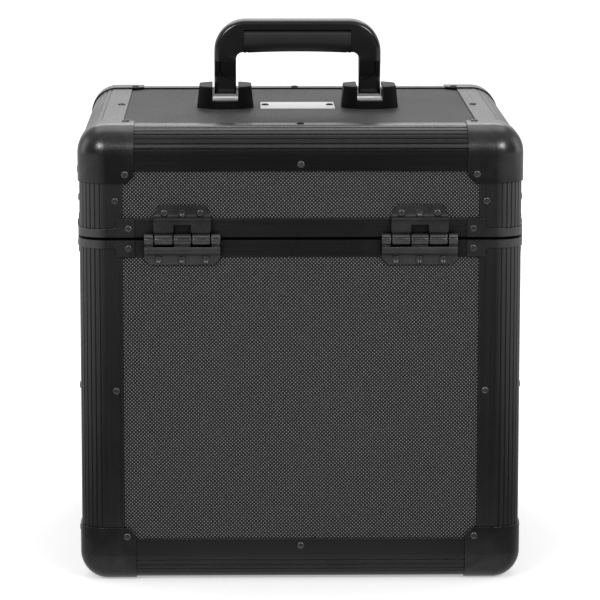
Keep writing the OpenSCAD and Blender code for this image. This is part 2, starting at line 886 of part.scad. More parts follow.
// Folding handle: outline across X, rounded inside its upper corners
module bail_outline() {
    inner = bail_half - leg_w;
    z_top = top_z + grip_top;
    z_low = pivot_z - leg_boss_r;
    difference() {
        union() {
            translate([-bail_half, z_low])
                square([2 * bail_half, z_top - handle_r - z_low]);
            translate([-bail_half + handle_r, z_top - handle_r - 1])
                square([2 * (bail_half - handle_r), handle_r + 1]);
            for (s = [-1, 1])
                translate([s * (bail_half - handle_r), z_top - handle_r])
                    circle(handle_r);
        }
        translate([-inner, z_low - 1])
            square([2 * inner, bar_z - inner_round - z_low + 1]);
        translate([-inner + inner_round, z_low - 1])
            square([2 * (inner - inner_round), bar_z - z_low + 1]);
        for (s = [-1, 1])
            translate([s * (inner - inner_round), bar_z - inner_round])
                circle(inner_round);
    }
}

// Side profile of the handle, thinned by a step all over
module bail_side(step) {
    z_top = top_z + grip_top;
    half = grip_d / 2 - step;
    thin = leg_t / 2 - step;
    thick_z = top_z + leg_thick_z;
    thin_z = top_z + leg_thin_z;
    translate([0, pivot_z])
        circle(leg_boss_r);
    polygon([
        [-leg_boss_r, pivot_z], [leg_boss_r, pivot_z], [thin, thin_z], [half, thick_z],
        [half, z_top - bar_round], [-half, z_top - bar_round], [-half, thick_z], [-thin, thin_z]
    ]);
    translate([-half + bar_round, z_top - bar_round - 1])
        square([2 * (half - bar_round), bar_round + 1]);
    for (s = [-1, 1])
        translate([s * (half - bar_round), z_top - bar_round])
            circle(bar_round);
}

// The handle's full-depth part: all above its shoulders, ending in a round on each leg
module bail_shoulders() {
    z_shoulder = top_z + leg_thick_z;
    translate([-bail_half - 1, z_shoulder])
        square([2 * bail_half + 2, grip_top]);
    for (s = [-1, 1])
        translate([s * (bail_half - leg_w), z_shoulder])
            circle(shoulder_r);
}

grip_fit = 0.3;
core_half = grip_d / 4;
core_z = bar_z + 5;

module handle_bail() {
    color([0.08, 0.08, 0.08])
        difference() {
            union() {
                intersection() {
                    along_y(grip_d + 2) bail_outline();
                    along_x(2 * bail_half + 2) bail_side(shoulder_step);
                }
                intersection() {
                    along_y(grip_d + 2)
                        intersection() {
                            bail_outline();
                            bail_shoulders();
                        }
                    along_x(2 * bail_half + 2) bail_side(0);
                }
            }
            for (s = [-1, 1])
                translate([-grip_len / 2, s > 0 ? core_half : -core_half - grip_d, bar_z - 1])
                    cube([grip_len, grip_d, grip_z1 - bar_z + 1]);
            translate([-grip_len / 2, -grip_d, bar_z - 1])
                cube([grip_len, 2 * grip_d, core_z - bar_z + 1]);
            translate([0, 0, pivot_z])
                rotate([0, 90, 0])
                    cylinder(r = handle_pin_r + pin_clear, h = 2 * bail_half + 2, center = true);
        }
}

// Soft sleeve round the bar's core, arched along its underside
module handle_grip() {
    half = grip_d / 2 + grip_proud;
    drop = grip_arch;
    r = grip_round;
    len = grip_len - 2 * grip_fit;
    arch_r = (len * len / 4 + drop * drop) / (2 * drop);
    color([0.13, 0.13, 0.13])
        difference() {
            along_x(len) {
                translate([-half, bar_z - drop + r])
                    square([2 * half, grip_z1 - grip_fit - bar_z + drop - r]);
                translate([-half + r, bar_z - drop])
                    square([2 * (half - r), r + 1]);
                for (s = [-1, 1])
                    translate([s * (half - r), bar_z - drop + r])
                        circle(r);
            }
            translate([-grip_len, -core_half - grip_fit / 2, core_z - grip_fit / 2])
                cube([2 * grip_len, 2 * core_half + grip_fit, bar_h]);
            translate([0, 0, bar_z - arch_r])
                rotate([90, 0, 0])
                    cylinder(r = arch_r, h = 2 * grip_d, center = true, $fn = 360);
        }
}

// Round-footed bracket with a slot for the leg. The slot has a floor on the hinge side
// and is open down to the board from just past the pin to the latch side.
module handle_bracket(side) {
    floor_z = sill_h - saddle_t;
    color([0.1, 0.1, 0.1])
        translate([side * leg_x, 0, panel_z])
            difference() {
                intersection() {
                    rotate_extrude() {
                        square([foot_r, foot_h - foot_round]);
                        square([foot_r - foot_round, foot_h]);
                        translate([foot_r - foot_round, foot_h - foot_round])
                            circle(foot_round);
                    }
                    along_y(2 * foot_r + 2)
                        polygon([
                            [-foot_w / 2, -1], [foot_w / 2, -1],
                            [foot_w / 2 - foot_draft, foot_h + 1], [-foot_w / 2 + foot_draft, foot_h + 1]
                        ]);
                }
                translate([-slot_half, -foot_r - 1, floor_z])
                    cube([2 * slot_half, 2 * foot_r + 2, foot_h]);
                translate([-slot_half, -foot_r - 1, -1])
                    cube([2 * slot_half, foot_r + 1 - sill_past, foot_h]);
                translate([0, 0, pivot_h])
                    rotate([0, 90, 0])
                        cylinder(r = handle_pin_r + pin_clear, h = foot_w + 2, center = true);
            }
}

module handle_bracket_left() { handle_bracket(-1); }
module handle_bracket_right() { handle_bracket(1); }

// Bright plates on the slots' floors
module handle_saddles() {
    color("silver")
        for (s = [-1, 1])
            translate([s * leg_x, 0, panel_z + sill_h - saddle_t])
                intersection() {
                    cylinder(r = foot_r, h = saddle_t);
                    translate([-slot_half, -sill_past, 0])
                        cube([2 * slot_half, foot_r + sill_past, saddle_t]);
                }
}

module handle_pins() {
    color("silver")
        for (s = [-1, 1])
            translate([s * leg_x, 0, pivot_z])
                rotate([0, 90, 0])
                    cylinder(r = handle_pin_r, h = foot_w - 2 * foot_draft - 1, center = true);
}

module name_plate() {
    color("white")
        translate([0, 0, panel_z + plate_t / 2])
            cube([plate_w, plate_d, plate_t], center = true);
}

// Rivet rows of a leaf
module row_rivets(axis, s, x, step, y, z) {
    for (i = [-1, 0, 1])
        rivet_on(axis, s, [x + i * step, y, z]);
}

module base_rivets() {
    color([0.3, 0.3, 0.31]) {
        end_rivets(foot_z, -1, foot_z + base_h * base_post_rivet);
        bracket_rivets(base_z - wrap_h);
        for (s = [-1, 1]) {
            row_rivets("y", 1, s * hinge_x, base_rivet_step, half_d + leaf_t, seam_z - base_rivet_drop);
            for (t = [-1, 1])
                rivet_on("y", -1, [s * latch_x + t * latch_w / 4, -half_d - sheet_t, seam_z - plate_rivet_drop]);
        }
    }
}

module lid_rivets() {
    out = wrap_gap + cap_t;
    color([0.3, 0.3, 0.31]) {
        end_rivets(top_z, 1, lid_z + lid_h * lid_post_rivet);
        bracket_rivets(lid_z + wrap_h);
        for (sx = [-1, 1]) {
            for (sy = [-1, 1])
                rivet_on("z", 1, [sx * (half_w - cap_rivet), sy * (half_d - cap_rivet), top_z + out]);
            rivet_on("z", 1, [sx * (half_w - rail_rivet), 0, top_z]);
            rivet_on("z", 1, [0, sx * (half_d - rail_rivet), top_z]);
            rivet_on("z", 1, [sx * (plate_w / 2 - plate_rivet_in), 0, panel_z + plate_t]);
            row_rivets("y", 1, sx * hinge_x, lid_rivet_step, half_d - skin + leaf_t, lid_leaf_z + ridge_h + rivet_r + 0.3);
            for (t = [-1, 1])
                rivet_on("y", -1, [sx * latch_x + t * latch_w / 4, -half_d - sheet_t, lid_z + lid_rim_face - keeper_rivet_drop]);
        }
    }
}

base_floor_board();
base_back_board();
base_front_board();
base_left_board();
base_right_board();
base_corner_posts();
base_bottom_rail_back();
base_bottom_rail_front();
base_bottom_rail_left();
base_bottom_rail_right();
base_rim_back();
base_rim_front();
base_rim_left();
base_rim_right();
base_corner_caps();
base_rim_brackets();
base_rivets();
base_floor_pad();
base_wall_lining();
lid_top_board();
lid_back_board();
lid_front_board();
lid_left_board();
lid_right_board();
lid_corner_posts();
lid_top_rail_back();
lid_top_rail_front();
lid_top_rail_left();
lid_top_rail_right();
lid_rim_back();
lid_rim_front();
lid_rim_left();
lid_rim_right();
lid_corner_caps();
lid_rim_brackets();
lid_rivets();
lid_top_pad();
lid_wall_lining();
name_plate();
handle_bracket_left();
handle_bracket_right();
handle_saddles();
handle_pins();
handle_bail();
handle_grip();
hinge_lid_leaf_left();
hinge_lid_leaf_right();
hinge_base_leaf_left();
hinge_base_leaf_right();
hinge_and_lever_pins();
latch_plate_left();
latch_plate_right();
latch_lever_left();
latch_lever_right();
latch_claw_left();
latch_claw_right();
latch_keeper_left();
latch_keeper_right();
latch_claw_pin_left();
latch_claw_pin_right();
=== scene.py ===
import math

import bmesh
import bpy
from mathutils import Matrix, Vector

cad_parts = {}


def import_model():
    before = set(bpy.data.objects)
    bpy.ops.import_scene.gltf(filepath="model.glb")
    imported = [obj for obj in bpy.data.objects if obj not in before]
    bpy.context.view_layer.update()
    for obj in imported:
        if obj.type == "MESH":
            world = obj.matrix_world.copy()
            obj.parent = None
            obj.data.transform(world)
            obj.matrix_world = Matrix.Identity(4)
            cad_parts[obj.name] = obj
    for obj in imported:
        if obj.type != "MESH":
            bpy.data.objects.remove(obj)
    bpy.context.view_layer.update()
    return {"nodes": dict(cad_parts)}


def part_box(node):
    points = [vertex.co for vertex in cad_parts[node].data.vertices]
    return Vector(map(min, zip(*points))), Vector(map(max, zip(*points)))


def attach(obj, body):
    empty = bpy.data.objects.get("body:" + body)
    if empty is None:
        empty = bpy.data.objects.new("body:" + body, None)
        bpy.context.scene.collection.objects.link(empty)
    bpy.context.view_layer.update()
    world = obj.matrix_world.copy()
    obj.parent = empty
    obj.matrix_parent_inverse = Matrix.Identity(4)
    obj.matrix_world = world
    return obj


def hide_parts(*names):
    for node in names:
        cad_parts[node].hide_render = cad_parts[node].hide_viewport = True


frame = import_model()
NODES = frame["nodes"]
MM = 0.001

# Sizes of the frame that the dressed pieces repeat, in millimetres
CASE_W, CASE_D = 360.0, 350.0
FOOT_Z, BASE_H, LID_H, SEAM_GAP = 1.25, 284.2, 89.7, 0.8
BASE_Z = FOOT_Z + BASE_H
LID_Z = BASE_Z + SEAM_GAP
TOP_Z = LID_Z + LID_H
SEAM_Z = LID_Z - SEAM_GAP / 2
INNER_FACE, LINER_T = 6.6, 3.0
LINER = INNER_FACE + LINER_T

# Handle: half width, width of a leg, radii of its outer and inner corners
BAIL_HALF, LEG_W, HANDLE_R, INNER_R = 70.8, 18.6, 26.5, 5.5
# its top, the height of its pivots, half depth of its feet
BAIL_TOP, PIVOT_Z, BOSS_R = TOP_Z + 72.9, 389.85, 5.2
# underside of its bar, top of the grip, half length of the grip
BAR_Z, GRIP_Z1, GRIP_HALF = BAIL_TOP - 27.4, BAIL_TOP - 8.4, 45.5
# round shoulder on the legs' flat sides: height of its centre, radius, step, groove along it
SHOULDER_Z, SHOULDER_R, SHOULDER_STEP, SHOULDER_GROOVE = TOP_Z + 38.0, 16.4, 0.6, 0.8
# height where the legs begin to thicken, their half depth there and above the shoulder
LEG_THIN_Z, LEG_THIN, BAIL_DEEP = TOP_Z + 24.0, 6.2, 12.0
# easing of its outer and inner edges
EDGE_OUT, EDGE_IN = 4.0, 1.4
# slots of its brackets: half width, and where the bright plates on their floors end
SLOT_HALF, SADDLE_FRONT = 11.0, 20.0

# Hinges: place of the pins, and sizes drawn about them with y outwards and z up
PIN_Y, PIN_Z = CASE_D / 2 + 4.8, SEAM_Z
HINGE_X = CASE_W / 2 - 84.0
KNUCKLE_R, BORE_R, LEAF_T = 4.5, 1.95, 1.5
# base leaf: half width, end of the middle knuckle, start of the outer ones
LEAF_HALF, KNUCKLE_MID, KNUCKLE_END = 30.7, 6.9, 23.4
# lid leaf: half width, start of its knuckles, half width at its top
LID_HALF, LID_KNUCKLE_IN, LID_TOP_HALF = 23.15, 7.15, 18.6
# open seam of a knuckle's roll: place and half width in degrees, depth
SLIT_AT, SLIT_HALF, SLIT_DEEP = 16.0, 15.0, 1.5

# Camera fitted to the photograph: place in metres, angles in radians
CAM_AT = (0.05109, 2.90556, 0.68981)
CAM_PITCH, CAM_YAW, CAM_ROLL = 0.16489, 0.01843, 0.00082
# focal length and width of the square picture in pixels, width of the sensor
FOCAL_PX, PICTURE_PX, SENSOR_MM = 3411.47, 600.0, 36.0


# ---------------------------------------------------------------- camera
def make_camera():
    """Camera on the hinge side, looking along its yaw and pitch and turned by its roll."""
    data = bpy.data.cameras.new("camera")
    cam = bpy.data.objects.new("camera", data)
    bpy.context.collection.objects.link(cam)
    forward = Vector((-math.sin(CAM_YAW) * math.cos(CAM_PITCH),
                      -math.cos(CAM_YAW) * math.cos(CAM_PITCH),
                      -math.sin(CAM_PITCH)))
    right = Vector((-math.cos(CAM_YAW), math.sin(CAM_YAW), 0.0))
    up = right.cross(forward)
    rolled_right = right * math.cos(CAM_ROLL) + up * math.sin(CAM_ROLL)
    rolled_up = up * math.cos(CAM_ROLL) - right * math.sin(CAM_ROLL)
    pose = Matrix((rolled_right, rolled_up, -forward)).transposed().to_4x4()
    pose.translation = Vector(CAM_AT)
    cam.matrix_world = pose
    data.sensor_width = SENSOR_MM
    data.lens = FOCAL_PX * SENSOR_MM / PICTURE_PX
    data.clip_start, data.clip_end = 0.05, 100.0
    bpy.context.scene.camera = cam


make_camera()
bpy.context.scene.view_settings.view_transform = "Standard"


# ---------------------------------------------------------------- node helpers
WHITE = (1.0, 1.0, 1.0)


def tone(level):
    """Neutral linear colour of an sRGB level from 0 to 255."""
    v = level / 255.0
    linear = v / 12.92 if v <= 0.04045 else ((v + 0.055) / 1.055) ** 2.4
    return (linear, linear, linear)


class Tree:
    """Small helper round the node tree of a material or a world. Distances are in metres, scales per metre."""

    def __init__(self, owner):
        owner.use_nodes = True
        self.owner = owner
        self.nodes = owner.node_tree.nodes
        self._coord = None

    def node(self, kind, **props):
        n = self.nodes.new(kind)
        for key, value in props.items():
            setattr(n, key, value)
        return n

    def link(self, source, socket):
        self.owner.node_tree.links.new(source, socket)

    def put(self, socket, value):
        """Link another socket, or set a number or a colour."""
        if isinstance(value, bpy.types.NodeSocket):
            self.link(value, socket)
        elif isinstance(value, tuple):
            socket.default_value = (*value, 1.0)
        else:
            socket.default_value = value

    def math(self, op, a, b=None):
        n = self.node("ShaderNodeMath", operation=op)
        self.put(n.inputs[0], a)
        if b is not None:
            self.put(n.inputs[1], b)
        return n.outputs[0]

    def coord(self):
        """Coordinates along the case's axes, in metres."""
        if self._coord is None:
            self._coord = self.node("ShaderNodeTexCoord").outputs["Object"]
        return self._coord

    def split(self, vector):
        n = self.node("ShaderNodeSeparateXYZ")
        self.link(vector, n.inputs[0])
        return n.outputs

    def noise(self, scale, detail=2.0, rough=0.5, distort=0.0, vector=None):
        n = self.node("ShaderNodeTexNoise")
        self.link(vector if vector is not None else self.coord(), n.inputs["Vector"])
        for key, value in (("Scale", scale), ("Detail", detail), ("Roughness", rough), ("Distortion", distort)):
            n.inputs[key].default_value = value
        return n.outputs["Fac"]

    def streaks(self, along, across, length, rough=0.5):
        """Noise drawn out along one axis, as drawing and brushing leave it."""
        n = self.node("ShaderNodeVectorMath", operation="MULTIPLY")
        self.link(self.coord(), n.inputs[0])
        scale = [across, across, across]
        scale[along] = length
        n.inputs[1].default_value = scale
        return self.noise(1.0, detail=3.0, rough=rough, vector=n.outputs[0])

    def voronoi(self, scale):
        n = self.node("ShaderNodeTexVoronoi")
        self.link(self.coord(), n.inputs["Vector"])
        n.inputs["Scale"].default_value = scale
        return n.outputs["Distance"]

    def remap(self, value, from_min, from_max, to_min, to_max, smooth=False):
        n = self.node("ShaderNodeMapRange")
        if smooth:
            n.interpolation_type = "SMOOTHSTEP"
        self.link(value, n.inputs["Value"])
        for key, x in (("From Min", from_min), ("From Max", from_max), ("To Min", to_min), ("To Max", to_max)):
            n.inputs[key].default_value = x
        return n.outputs["Result"]

    def mix(self, share, a, b):
        """Colour a where the share is 0, b where it is 1."""
        n = self.node("ShaderNodeMix", data_type="RGBA")
        for k, value in ((0, share), (6, a), (7, b)):
            self.put(n.inputs[k], value)
        return n.outputs[2]

    def bump(self, height, distance, strength, normal=None):
        n = self.node("ShaderNodeBump")
        n.inputs["Strength"].default_value = strength
        n.inputs["Distance"].default_value = distance
        self.link(height, n.inputs["Height"])
        if normal is not None:
            self.link(normal, n.inputs["Normal"])
        return n.outputs["Normal"]

    def round_edges(self, radius):
        n = self.node("ShaderNodeBevel", samples=4)
        n.inputs["Radius"].default_value = radius
        return n.outputs["Normal"]

    def edge_mask(self, rounded, lo, hi):
        """1 on edges, 0 on faces: how far the rounded normal leans away from the true one."""
        n = self.node("ShaderNodeVectorMath", operation="DOT_PRODUCT")
        self.link(rounded, n.inputs[0])
        self.link(self.node("ShaderNodeNewGeometry").outputs["Normal"], n.inputs[1])
        lean = self.math("SUBTRACT", 1.0, n.outputs["Value"])
        return self.remap(lean, lo, hi, 0.0, 1.0)

    def painted_crevice_shade(self, color, distance=0.002, dark=0.1):
        """Painted shade where two pieces meet: the colour darkens in narrow corners that other surfaces close
        over.
        """
        n = self.node("ShaderNodeAmbientOcclusion", samples=8)
        n.inputs["Distance"].default_value = distance
        open_air = self.remap(n.outputs["AO"], 0.35, 0.85, dark, 1.0)
        return self.mix(open_air, tone(4), color)

    def painted_seam_shadow(self, color):
        """Painted shadow: a dark band on both sides of the joint between the two halves, in place of the shade
        in its gap.
        """
        off = self.math("ABSOLUTE", self.math("SUBTRACT", self.split(self.coord())["Z"], SEAM_Z * MM))
        return self.mix(self.remap(off, 0.0009, 0.0015, 1.0, 0.0), color, tone(14))

    def finish(self, color, rough, normal, metallic=0.0, spec=0.5, sheen=0.0):
        """Feed the shader and give back the material."""
        inputs = self.nodes["Principled BSDF"].inputs
        for key, value in (("Base Color", color), ("Roughness", rough), ("Normal", normal),
                           ("Metallic", metallic), ("Specular IOR Level", spec), ("Sheen Weight", sheen)):
            self.put(inputs[key], value)
        return self.owner

    def light(self, kind, strength):
        """White emission or background of a strength."""
        n = self.node(kind)
        self.put(n.inputs["Color"], WHITE)
        self.put(n.inputs["Strength"], strength)
        return n.outputs[0]

    def choose(self, share, a, b):
        """Shader a where the share is 0, b where it is 1."""
        n = self.node("ShaderNodeMixShader")
        for k, value in enumerate((share, a, b)):
            self.link(value, n.inputs[k])
        return n.outputs[0]


# ---------------------------------------------------------------- materials
DOT_PITCH = 2.93 * MM
# shares of the pitch at which a dot starts to fade and has faded out
DOT_CORE, DOT_RIM = 0.2, 0.3


def new_tree(name):
    """Tree of a new material."""
    return Tree(bpy.data.materials.new(name))


def laminate(name, u, v):
    """Dark laminate with a lattice of small pale dots, laid out along two axes of the case."""
    t = new_tree(name)
    xyz = t.split(t.coord())
    off = []
    for diagonal in ("ADD", "SUBTRACT"):
        steps = t.math("MULTIPLY", t.math(diagonal, xyz[u], xyz[v]), 1.0 / DOT_PITCH)
        off.append(t.math("SUBTRACT", t.math("FRACT", steps), 0.5))
    far = t.math("SQRT", t.math("ADD", *[t.math("MULTIPLY", x, x) for x in off]))
    ragged = t.noise(900.0, detail=3.0)
    speck = t.remap(far, DOT_CORE, DOT_RIM, 1.0, 0.0, smooth=True)
    dot = t.math("MULTIPLY", speck, t.remap(ragged, 0.3, 0.7, 0.8, 1.0))
    blotch = t.noise(9.0, detail=3.0)
    dark = t.mix(blotch, tone(29), tone(36))
    pale = t.mix(ragged, tone(112), tone(128))
    # painted shade: the laminate darkens where other pieces close over it
    color = t.painted_crevice_shade(t.mix(dot, dark, pale), 0.003, 0.3)
    rough = t.math("ADD", t.remap(dot, 0.0, 1.0, 0.48, 0.58), t.remap(blotch, 0.3, 0.7, -0.03, 0.04))
    pores = t.bump(t.noise(2600.0), 0.00003, 0.5)
    return t.finish(color, rough, t.bump(dot, 0.00006, 0.6, pores), spec=0.07)


def rail_metal(name, along, level, rough=0.27, seam=False):
    """Dark anodised extrusion: hair-fine streaks run along its length."""
    t = new_tree(name)
    streak = t.streaks(along, 900.0, 6.0, rough=0.6)
    cloud = t.noise(14.0, detail=3.0)
    soft = t.round_edges(0.0006)
    wear = t.edge_mask(soft, 0.03, 0.3)
    dark = t.mix(cloud, tone(level - 3), tone(level + 3))
    color = t.mix(t.math("MULTIPLY", wear, 0.3), dark, tone(150))
    # painted shadow: a dark band along the joint between the halves
    if seam:
        color = t.painted_seam_shadow(color)
    # painted shade in narrow corners; on the rims it reaches farther, darkening them round the hinges
    color = t.painted_crevice_shade(color, 0.008 if seam else 0.002)
    sheen = t.remap(streak, 0.25, 0.75, rough - 0.04, rough + 0.06)
    patchy = t.math("ADD", sheen, t.remap(cloud, 0.3, 0.7, -0.03, 0.03))
    return t.finish(color, patchy, t.bump(streak, 0.00002, 0.4, soft), metallic=1.0)


def coated(name, level, rough=0.3, grain=1100.0, depth=0.00001, edge=0.0, seam=False, metal=1.0):
    """Black-finished steel: a dark metal with faint orange peel, a little rubbed on the edges that it eases."""
    t = new_tree(name)
    peel = t.noise(grain)
    cloud = t.noise(22.0, detail=4.0)
    smudge = t.noise(38.0, detail=4.0, rough=0.6, distort=0.8)
    color = t.mix(t.remap(smudge, 0.35, 0.65, 0.0, 1.0), tone(level - 6), tone(level + 7))
    soft = None
    if edge > 0.0:
        soft = t.round_edges(edge)
        patches = t.remap(t.noise(160.0, detail=3.0), 0.35, 0.65, 0.3, 1.0)
        wear = t.math("MULTIPLY", t.edge_mask(soft, 0.05, 0.4), patches)
        color = t.mix(t.math("MULTIPLY", wear, 0.25), color, tone(150))
    # painted shadow: a dark band along the joint between the halves
    if seam:
        color = t.painted_seam_shadow(color)
    # painted shade in narrow corners where other pieces close over the steel
    color = t.painted_crevice_shade(color)
    sheen = t.remap(peel, 0.3, 0.7, rough - 0.04, rough + 0.05)
    patchy = t.math("ADD", sheen, t.remap(cloud, 0.3, 0.7, -0.04, 0.04))
    return t.finish(color, patchy, t.bump(peel, depth, 0.6, soft), metallic=metal)


def plastic(name, level, rough, spec, grit, edge=0.0):
    """Moulded plastic with a fine spark-eroded grain, polished a little where hands rub it."""
    t = new_tree(name)
    grain = t.noise(1500.0, detail=3.0, rough=0.6)
    hand = t.noise(26.0, detail=3.0)
    soft = t.round_edges(edge) if edge > 0.0 else None
    color = t.mix(hand, tone(level - 3), tone(level + 4))
    sheen = t.remap(grain, 0.3, 0.7, rough - 0.04, rough + 0.06)
    patchy = t.math("ADD", sheen, t.remap(hand, 0.3, 0.7, -0.05, 0.05))
    return t.finish(color, patchy, t.bump(grain, 0.00004, grit, soft), spec=spec)


def rubber(name, level):
    """Soft rubber with a dull, fine grain."""
    t = new_tree(name)
    grain = t.noise(2200.0, detail=3.0, rough=0.6)
    color = t.mix(t.noise(30.0, detail=3.0), tone(level - 3), tone(level + 5))
    return t.finish(color, t.remap(grain, 0.3, 0.7, 0.46, 0.6), t.bump(grain, 0.00008, 0.7), spec=0.4)


def bright_steel(name, along):
    """Plated steel, brushed along one axis."""
    t = new_tree(name)
    streak = t.streaks(along, 1500.0, 20.0)
    color = t.mix(t.noise(60.0, detail=3.0), tone(192), tone(212))
    normal = t.bump(streak, 0.00001, 0.3, t.round_edges(0.0003))
    return t.finish(color, t.remap(streak, 0.25, 0.75, 0.24, 0.34), normal, metallic=1.0)


def white_plate(name):
    """White plate with the faint grain of its sheet along the case."""
    t = new_tree(name)
    streak = t.streaks(0, 1400.0, 25.0)
    color = t.mix(t.noise(40.0, detail=3.0), tone(208), tone(219))
    normal = t.bump(streak, 0.00003, 0.5, t.round_edges(0.0003))
    return t.finish(color, t.remap(streak, 0.25, 0.75, 0.3, 0.42), normal)


def foam_cloth(name, level):
    """Foam faced with short black pile."""
    t = new_tree(name)
    pile = t.voronoi(2200.0)
    fuzz = t.noise(1400.0, detail=4.0, rough=0.7)
    nap = t.noise(11.0, detail=4.0, distort=0.6)
    lit = t.mix(nap, tone(level - 5), tone(level + 9))
    color = t.mix(t.remap(fuzz, 0.35, 0.65, 0.0, 0.4), lit, tone(level + 26))
    height = t.math("ADD", t.math("MULTIPLY", pile, 0.6), fuzz)
    return t.finish(color, 0.92, t.bump(height, 0.0003, 0.8), spec=0.2, sheen=0.25)


LAM_XZ = laminate("laminate_xz", 0, 2)
LAM_YZ = laminate("laminate_yz", 1, 2)
LAM_XY = laminate("laminate_xy", 0, 1)
RAIL_X = rail_metal("rail_x", 0, 68, rough=0.26)
RAIL_Y = rail_metal("rail_y", 1, 70, rough=0.31)
POST_Z = rail_metal("post_z", 2, 86)
RIM_X = rail_metal("rim_x", 0, 80, seam=True)
RIM_Y = rail_metal("rim_y", 1, 80, seam=True)
CAP = coated("corner_cap", 71, rough=0.28, edge=0.0007)
BRACKET = coated("rim_bracket", 92, depth=0.00002, edge=0.0005, seam=True)
RIVET = coated("rivet", 86, grain=2500.0, metal=0.7)
RIVET_BLACK = coated("black_rivet", 36, rough=0.4, grain=2500.0, metal=0.7)
# the lid leaf gets a darker copy of the hinge steel: painted shade on its upright plates
HINGE_LID_SHADED = coated("hinge_lid", 66, metal=0.7)
HINGE = coated("hinge", 84, metal=0.7)
KNUCKLE = coated("hinge_knuckle", 102, rough=0.28, metal=0.75)
LATCH = coated("latch", 74, edge=0.0004, metal=0.6)
HANDLE = plastic("handle_plastic", 21, rough=0.16, spec=0.5, grit=0.15)
FOOT = plastic("handle_bracket_plastic", 8, rough=0.5, spec=0.1, grit=0.5, edge=0.0006)
GRIP = rubber("grip_rubber", 18)
STEEL_X = bright_steel("bright_steel_x", 0)
STEEL_Y = bright_steel("bright_steel_y", 1)
PLATE = white_plate("blank_plate")
FOAM = foam_cloth("foam_cloth", 40)


def dress(node, mat):
    """Give a CAD node its material."""
    data = NODES[node].data
    data.materials.clear()
    data.materials.append(mat)


WALLS = ((("back", "front"), LAM_XZ, RIM_X, RAIL_X), (("left", "right"), LAM_YZ, RIM_Y, RAIL_Y))
for half, rails in (("base", "bottom_rail"), ("lid", "top_rail")):
    for sides, board, rim, rail in WALLS:
        for side in sides:
            dress(f"{half}_{side}_board", board)
            dress(f"{half}_rim_{side}", rim)
            dress(f"{half}_{rails}_{side}", rail)
    dress(f"{half}_corner_posts", POST_Z)
    dress(f"{half}_corner_caps", CAP)
    dress(f"{half}_rim_brackets", BRACKET)
    dress(f"{half}_rivets", RIVET)
    dress(f"{half}_wall_lining", FOAM)
dress("base_floor_board", LAM_XY)
dress("lid_top_board", LAM_XY)
dress("base_floor_pad", FOAM)
dress("lid_top_pad", FOAM)
dress("name_plate", PLATE)
dress("handle_saddles", STEEL_Y)
dress("handle_pins", STEEL_X)
dress("handle_bail", HANDLE)
dress("handle_grip", GRIP)
dress("hinge_and_lever_pins", RIVET_BLACK)
for side in ("left", "right"):
    dress(f"handle_bracket_{side}", FOOT)
    dress(f"hinge_lid_leaf_{side}", HINGE_LID_SHADED)
    dress(f"hinge_base_leaf_{side}", HINGE)
    dress(f"latch_claw_pin_{side}", STEEL_X)
    for steel in ("latch_plate", "latch_lever", "latch_claw", "latch_keeper"):
        dress(f"{steel}_{side}", LATCH)


# ---------------------------------------------------------------- dressed pieces
def make(name, bm, mat, body, *nodes, smooth=True):
    """Turn a mesh into a piece that rides on a body and stands in for the CAD nodes."""
    me = bpy.data.meshes.new(name)
    bm.normal_update()
    bm.to_mesh(me)
    bm.free()
    for f in me.polygons:
        f.use_smooth = smooth
    me.materials.append(mat)
    ob = bpy.data.objects.new(name, me)
    bpy.context.collection.objects.link(ob)
    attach(ob, body)
    if nodes:
        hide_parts(*nodes)
    return ob


def skin(bm, rings):
    """Faces between rings of the same count, each closed on itself."""
    n = len(rings[0])
    for a, b in zip(rings, rings[1:]):
        for i in range(n):
            j = (i + 1) % n
            bm.faces.new((a[i], a[j], b[j], b[i]))


def slab(bm, front, back, row):
    """Faces of a slab between two grids of vertices, listed row after row, and round its rim."""
    last = len(front) - row
    for start in range(0, last, row):
        for k in range(start, start + row - 1):
            bm.faces.new((front[k], front[k + 1], front[k + row + 1], front[k + row]))
            bm.faces.new((back[k], back[k + row], back[k + row + 1], back[k + 1]))
    rim = list(range(row - 1)) + list(range(row - 1, last + row - 1, row))
    rim += list(range(last + row - 1, last, -1)) + list(range(last, 0, -row))
    for i, k in enumerate(rim):
        m = rim[(i + 1) % len(rim)]
        bm.faces.new((front[k], front[m], back[m], back[k]))


def second_material(bm, first):
    """Give the faces from a count on the second material of their piece."""
    bm.faces.ensure_lookup_table()
    for face in bm.faces[first:]:
        face.material_index = 1


def box_mm(node):
    """Low and high corner of a CAD node, in millimetres."""
    lo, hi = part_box(node)
    return [c / MM for c in lo], [c / MM for c in hi]


# share of a foam panel's thickness that is left at its sewn edge
SEWN_SHARE = 0.42


def pillow(bm, centre, size, axis, side, crown, pinch, cells=(26, 26)):
    """Foam panel with a sewn edge. Its back is flat against the board; its front, on the given side of
    the axis, is crowned, thins out towards its edges and pulls in a little between its corners."""
    u, v = [k for k in range(3) if k != axis]
    nu, nv = cells
    hu, hv, t = size[u] / 2, size[v] / 2, size[axis]
    front, back = [], []
    for i in range(nu + 1):
        for j in range(nv + 1):
            a = math.sin((i / nu - 0.5) * math.pi)
            b = math.sin((j / nv - 0.5) * math.pi)
            inside = (1 - abs(a) ** 14) * (1 - abs(b) ** 14)
            low = SEWN_SHARE * t
            full = t * (1 - crown) + t * crown * (1 - a ** 4) * (1 - b ** 4)
            height = low + (full - low) * inside ** 0.5
            pu = a * (hu - pinch * (1 - b * b) * abs(a) ** 6)
            pv = b * (hv - pinch * (1 - a * a) * abs(b) ** 6)
            for store, h in ((front, height), (back, 0.0)):
                co = [0.0, 0.0, 0.0]
                co[u] = centre[u] + pu
                co[v] = centre[v] + pv
                co[axis] = centre[axis] + side * (h - t / 2)
                store.append(bm.verts.new([c * MM for c in co]))
    slab(bm, front, back, nv + 1)
    bmesh.ops.recalc_face_normals(bm, faces=bm.faces[:])


